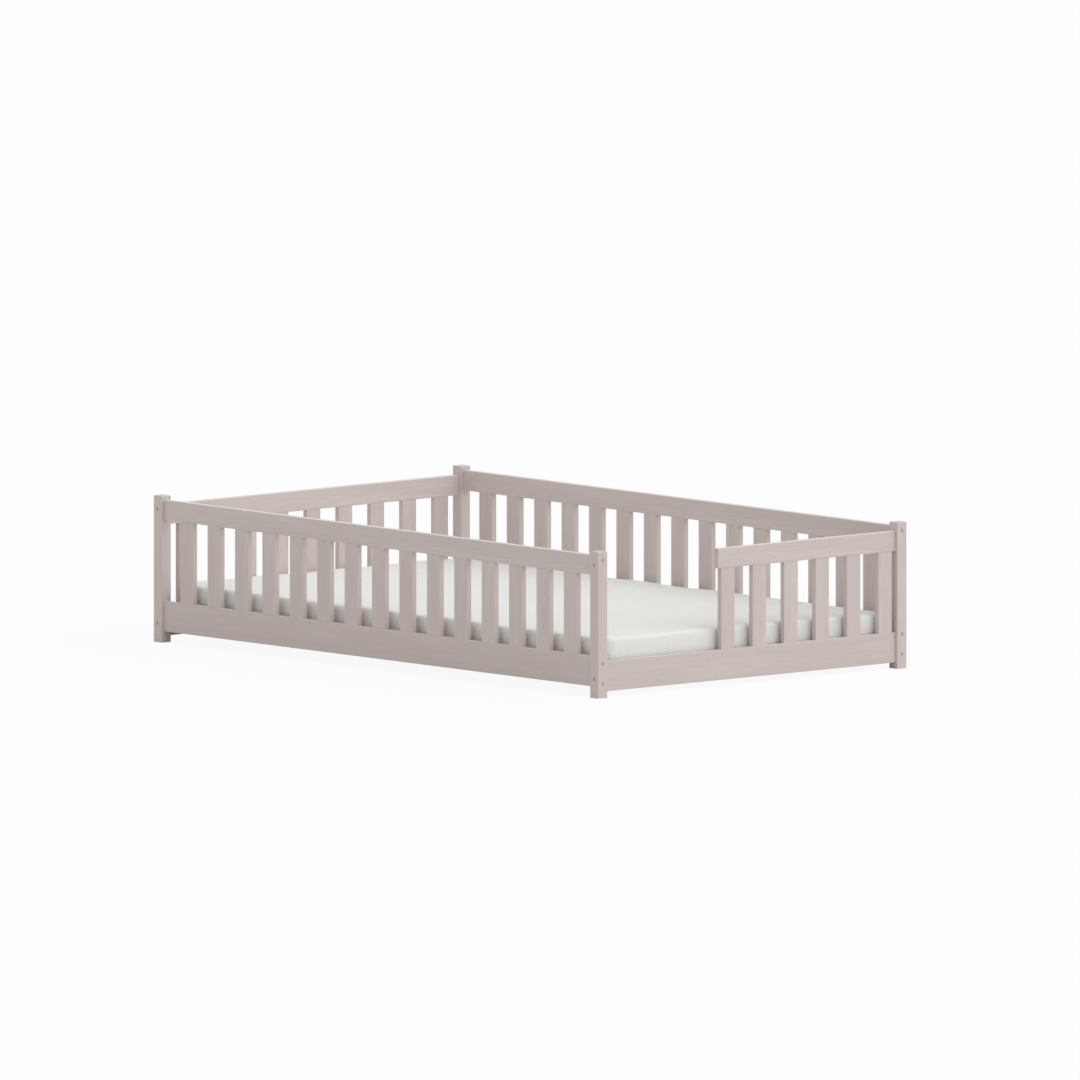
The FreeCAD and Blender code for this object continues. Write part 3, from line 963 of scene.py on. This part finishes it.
@dataclass
class Mattress:
    """The padded mattress: a cotton cover over a foam block, with soft edges and a low crown."""

    finish: CoverFinish = CoverFinish()
    corner_radius: float = 0.060
    edge_rounding: float = 0.012
    crown: float = 0.002
    crown_reach: float = 0.25
    lean: float = 0.0042
    unevenness: float = 0.0009
    wave_turns: Triple = (0.4, 1.3, 2.3)
    wave_lengths: Triple = (0.41, 0.29, 0.23)
    draw_in: float = 0.003
    draw_in_power: int = 6
    top_slack: float = 0.0008
    front_slack: float = 0.012
    back_slack: float = 0.008
    left_slack: float = 0.003
    entry_slack: float = 0.003
    border: float = 0.060
    border_cell: float = 0.006
    cell_growth: float = 1.15
    inner_cell: float = 0.022
    side_cells: int = 16
    steps: int = 14
    cloth_quality: int = 6
    cloth_mass: float = 0.2
    pressure: float = 2.0
    spare_cloth: float = 0.004
    foam_hold: float = 0.4
    held_height: float = 0.020
    swell: float = 0.0015
    fill: float = 0.9

    def build(self) -> bpy.types.Object:
        """Make the block and let its cover settle on the foam as cloth.

        Returns:
            The mattress.
        """
        piece = self._block()
        self._settle(piece)
        for face in piece.data.polygons:
            face.use_smooth = True
        smooth = piece.modifiers.new("softness", "SUBSURF")
        smooth.levels = 1
        smooth.render_levels = 1
        dress(piece, self.finish.material())
        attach(piece, "mattress")
        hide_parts("mattress_cover", "mattress_core")
        return piece

    def _block(self) -> bpy.types.Object:
        """The cover's form before it settles, a little slack inside the cover's box.

        Returns:
            The piece, with cells that are small near the edges.
        """
        low, high = (np.array(corner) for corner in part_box("mattress_cover"))
        low = low + (self.left_slack, self.front_slack, 0.0)
        high = high - (self.entry_slack, self.back_slack, self.top_slack)
        columns = [self._spaced(low[axis], high[axis]) for axis in range(2)]
        columns.append(np.linspace(low[2], high[2], self.side_cells + 1))
        spots, faces = self._shell([len(column) - 1 for column in columns])
        points = np.column_stack([column[spots[:, axis]] for axis, column in enumerate(columns)])
        mesh = bpy.data.meshes.new("mattress")
        mesh.from_pydata(self._rounded(points, low, high).tolist(), [], faces)
        work = bmesh.new()
        work.from_mesh(mesh)
        bmesh.ops.recalc_face_normals(work, faces=work.faces)
        work.to_mesh(mesh)
        work.free()
        piece = bpy.data.objects.new("mattress", mesh)
        bpy.context.scene.collection.objects.link(piece)
        return piece

    def _spaced(self, start: float, end: float) -> np.ndarray:
        """Places from a start to an end, close together near both and wider apart towards the middle.

        Args:
            start: The first place.
            end: The last place.

        Returns:
            The places, in order.
        """
        cells = [self.border_cell] * round(self.border / self.border_cell)
        while cells[-1] * self.cell_growth < self.inner_cell:
            cells.append(cells[-1] * self.cell_growth)
        rim = np.concatenate([[0.0], np.cumsum(cells)])
        span = end - start - 2 * rim[-1]
        inner = np.linspace(0.0, span, round(span / self.inner_cell) + 1)[1:-1]
        return np.concatenate([start + rim, start + rim[-1] + inner, end - rim[::-1]])

    @staticmethod
    def _shell(counts: Sequence[int]) -> tuple[np.ndarray, list[list[int]]]:
        """The outside of a block of cells.

        Args:
            counts: How many cells lie along each axis.

        Returns:
            The grid place of each corner on the outside, and the faces as corners.
        """
        corners: dict[tuple[int, ...], int] = {}
        faces = []
        for axis in range(3):
            first, second = (other for other in range(3) if other != axis)
            for side in (0, counts[axis]):
                for cell in np.ndindex(counts[first], counts[second]):
                    ring = []
                    for step in ((0, 0), (1, 0), (1, 1), (0, 1)):
                        spot = [side, side, side]
                        spot[first] = cell[0] + step[0]
                        spot[second] = cell[1] + step[1]
                        ring.append(corners.setdefault(tuple(spot), len(corners)))
                    faces.append(ring)
        return np.array(list(corners)), faces

    def _rounded(self, points: np.ndarray, low: np.ndarray, high: np.ndarray) -> np.ndarray:
        """Round a box's corners and edges, draw in its sides and crown its top.

        Args:
            points: Points on the box.
            low: The box's lowest corner.
            high: The box's highest corner.

        Returns:
            The points of the mattress's form.
        """
        half = (high - low)[:2] / 2
        heart = (high + low)[:2] / 2
        flat = points[:, :2] - heart
        inner = np.clip(flat, self.corner_radius - half, half - self.corner_radius)
        out = flat - inner
        length = np.maximum(np.linalg.norm(out, axis=1, keepdims=True), np.finfo(float).eps)
        inset = self.corner_radius - np.abs(out).max(axis=1)
        height = points[:, 2]
        for level, way in ((high[2] - self.edge_rounding, 1), (low[2] + self.edge_rounding, -1)):
            outer = np.maximum(self.edge_rounding - inset, 0.0)
            beyond = np.maximum((height - level) * way, 0.0)
            turned = (outer > 0) & (beyond > 0)
            spread = np.hypot(outer, beyond)
            share = np.where(turned, np.maximum(outer, beyond) / np.where(turned, spread, 1.0), 1.0)
            inset = np.where(turned, self.edge_rounding - outer * share, inset)
            height = np.where(turned, level + way * beyond * share, height)
        placed = inner + out / length * np.maximum(self.corner_radius - inset, 0.0)[:, None]
        bow = self.draw_in * (1 - (placed[:, ::-1] / half[::-1]) ** 2)
        placed -= np.sign(placed) * bow * (np.abs(placed) / half) ** self.draw_in_power
        inward = np.clip(inset / self.crown_reach, 0.0, 1.0)
        upper = np.clip((height - low[2]) / (high[2] - low[2]) * 2 - 1, 0.0, 1.0)
        frontward = -placed[:, 1] / half[1]
        height = height + upper * (self.lean * frontward - self.crown * (1 - inward) ** 2)
        height = height + upper * self._waves(placed)
        return np.column_stack([placed + heart, height])

    def _waves(self, placed: np.ndarray) -> np.ndarray:
        """Soft ups and downs of the filling: a few long waves that cross.

        Args:
            placed: Points, from the mattress's middle.

        Returns:
            The waves' height at each point.
        """
        total = np.zeros(len(placed))
        for turn, length in zip(self.wave_turns, self.wave_lengths):
            way = np.array((math.cos(turn), math.sin(turn)))
            total += np.sin(placed @ way * (math.tau / length))
        return self.unevenness * total

    @staticmethod
    def _keep_result(piece: bpy.types.Object) -> None:
        """Turn what the modifiers make into the piece's own mesh.

        Args:
            piece: The piece with its modifiers.
        """
        graph = bpy.context.evaluated_depsgraph_get()
        mesh = bpy.data.meshes.new_from_object(piece.evaluated_get(graph))
        piece.modifiers.clear()
        piece.data = mesh

    def _settle(self, piece: bpy.types.Object) -> None:
        """Let the cover move as cloth: the foam holds it softly all over, and the base holds its foot.

        Args:
            piece: The mattress's block.
        """
        scene = bpy.context.scene
        start, normals = self._points(piece)
        group = piece.vertex_groups.new(name="held")
        group.add(list(range(len(start))), self.foam_hold, "REPLACE")
        foot = np.flatnonzero(start[:, 2] < start[:, 2].min() + self.held_height)
        group.add(foot.tolist(), 1.0, "REPLACE")
        cloth = piece.modifiers.new("cover", "CLOTH")
        settings = cloth.settings
        settings.quality = self.cloth_quality
        settings.mass = self.cloth_mass
        settings.vertex_group_mass = group.name
        settings.use_pressure = True
        settings.uniform_pressure_force = self.pressure
        settings.shrink_min = -self.spare_cloth
        settings.effector_weights.gravity = 0.0
        cloth.point_cache.frame_start = 1
        cloth.point_cache.frame_end = self.steps
        for step in range(1, self.steps + 1):
            scene.frame_set(step)
        self._keep_result(piece)
        scene.frame_set(1)
        piece.vertex_groups.clear()
        end, _ = self._points(piece)
        outward = ((end - start) * normals).sum(axis=1, keepdims=True)
        log.info("cover moves %.1f to %.1f mm", outward.min() * MILLIMETRES, outward.max() * MILLIMETRES)
        self._set_points(piece, start + self.swell * np.tanh(outward / self.swell) * normals)

    @staticmethod
    def _points(piece: bpy.types.Object) -> tuple[np.ndarray, np.ndarray]:
        """The piece's points and the directions they face.

        Args:
            piece: The piece.

        Returns:
            The points and their normals.
        """
        mesh = piece.data
        count = len(mesh.vertices)
        places = np.empty(count * 3)
        normals = np.empty(count * 3)
        mesh.vertices.foreach_get("co", places)
        mesh.vertices.foreach_get("normal", normals)
        return places.reshape(count, 3), normals.reshape(count, 3)

    @staticmethod
    def _set_points(piece: bpy.types.Object, places: np.ndarray) -> None:
        """Move the piece's points."""
        piece.data.vertices.foreach_set("co", places.ravel())
        piece.data.update()


@dataclass
class Studio:
    """A pale floor, a soft dome, one soft key lamp and the camera."""

    azimuth: float = 48.6172
    elevation: float = 6.4996
    frame_width: float = 3.3044
    aim_right: float = 0.03034
    aim_up: float = 0.35136
    distance: float = 25.0
    floor_size: float = 30.0
    floor_colour: Colour = paint(230, 230, 229)
    floor_white: float = 0.93
    dome: float = 0.64
    key: float = 1.31
    key_azimuth: float = 35.0
    key_elevation: float = 52.0
    key_spread: float = 75.0

    def build(self) -> None:
        """Set up the floor, the light and the camera."""
        view = bpy.context.scene.view_settings
        view.view_transform = "Standard"
        self._make_floor()
        self._make_dome()
        self._make_key()
        self._make_camera()

    @staticmethod
    def _seen(bench: ShaderBench) -> Shade:
        """Tell what the camera sees, straight or in a mirror or glass, from light that bounces.

        Args:
            bench: The tree to add to.

        Returns:
            1 for what the camera sees, 0 for light that bounces.
        """
        rays = bench.add("ShaderNodeLightPath", {}, {}).socket.node
        camera, glossy, clear = (
            Shade(bench, rays.outputs[name])
            for name in ("Is Camera Ray", "Is Glossy Ray", "Is Transmission Ray")
        )
        return camera.larger(glossy).larger(clear)

    def _make_floor(self) -> None:
        """A wide pale floor, nearly white to the camera, that keeps a faint shadow."""
        material, bench = new_material("floor")
        paper = bench.add("ShaderNodeBsdfDiffuse", {}, {"Color": self.floor_colour})
        white = bench.add("ShaderNodeEmission", {}, {"Color": WHITE, "Strength": 1.0})
        share = self._seen(bench) * self.floor_white
        shader = bench.add("ShaderNodeMixShader", {}, {0: share, 1: paper, 2: white})
        bench.add("ShaderNodeOutputMaterial", {}, {"Surface": shader})
        half = self.floor_size / 2
        mesh = bpy.data.meshes.new("floor")
        corners = [(-half, -half, 0.0), (half, -half, 0.0), (half, half, 0.0), (-half, half, 0.0)]
        mesh.from_pydata(corners, [], [(0, 1, 2, 3)])
        floor = bpy.data.objects.new("floor", mesh)
        bpy.context.scene.collection.objects.link(floor)
        dress(floor, material)

    def _make_dome(self) -> None:
        """Even light from all round, and white behind the object."""
        world = bpy.data.worlds.new("dome")
        world.use_nodes = True
        bpy.context.scene.world = world
        bench = ShaderBench(world.node_tree)
        light = bench.add("ShaderNodeBackground", {}, {"Color": WHITE, "Strength": self.dome})
        white = bench.add("ShaderNodeBackground", {}, {"Color": WHITE, "Strength": 1.0})
        shader = bench.add("ShaderNodeMixShader", {}, {0: self._seen(bench), 1: light, 2: white})
        bench.add("ShaderNodeOutputWorld", {}, {"Surface": shader})

    def _make_key(self) -> None:
        """One broad lamp, high up on the side of the entry and the back."""
        lamp = bpy.data.lights.new("key", "SUN")
        lamp.energy = self.key
        lamp.angle = math.radians(self.key_spread)
        turn, rise = math.radians(self.key_azimuth), math.radians(self.key_elevation)
        toward = Vector((math.cos(turn) * math.cos(rise), math.sin(turn) * math.cos(rise), math.sin(rise)))
        key = bpy.data.objects.new("key", lamp)
        key.rotation_mode = "QUATERNION"
        key.rotation_quaternion = toward.to_track_quat("Z", "Y")
        key.location = toward * self.distance
        bpy.context.scene.collection.objects.link(key)

    def _make_camera(self) -> None:
        """A camera without perspective, turned round and raised as in the photograph."""
        turn, rise = math.radians(self.azimuth), math.radians(self.elevation)
        right = Vector((math.cos(turn), math.sin(turn), 0.0))
        back = Vector((math.sin(turn) * math.cos(rise), -math.cos(turn) * math.cos(rise), math.sin(rise)))
        up = back.cross(right)
        lens = bpy.data.cameras.new("camera")
        lens.type = "ORTHO"
        lens.ortho_scale = self.frame_width
        camera = bpy.data.objects.new("camera", lens)
        place = right * self.aim_right + up * self.aim_up + back * self.distance
        turned = Matrix((right, up, back)).transposed().to_4x4()
        camera.matrix_world = Matrix.Translation(place) @ turned
        bpy.context.scene.collection.objects.link(camera)
        bpy.context.scene.camera = camera


def main() -> None:
    """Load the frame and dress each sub-assembly."""
    logging.basicConfig(level=logging.INFO, format="%(name)s: %(message)s")
    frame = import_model()
    panels = [
        FencePanel("front", "back", Grain.RAIL_ALONG_X, Grain.UPRIGHT_ALONG_X),
        FencePanel("back", "front", Grain.RAIL_ALONG_X, Grain.UPRIGHT_ALONG_X, slat_like="front"),
        FencePanel("left", "entry", Grain.RAIL_ALONG_Y, Grain.UPRIGHT_ALONG_Y),
        FencePanel("entry", "left", Grain.RAIL_ALONG_Y, Grain.UPRIGHT_ALONG_Y),
    ]
    for panel in panels:
        log.info("%s fence: %d nodes", panel.name, panel.dress(frame))
    log.info("corner posts: %d nodes", CornerPosts().dress(frame))
    log.info("base: %d nodes", Base().dress(frame))
    log.info("fasteners: %d nodes", Fasteners().dress(frame))
    mattress = Mattress().build()
    log.info("mattress: %d points", len(mattress.data.vertices))
    Studio().build()


if __name__ == "__main__":
    main()
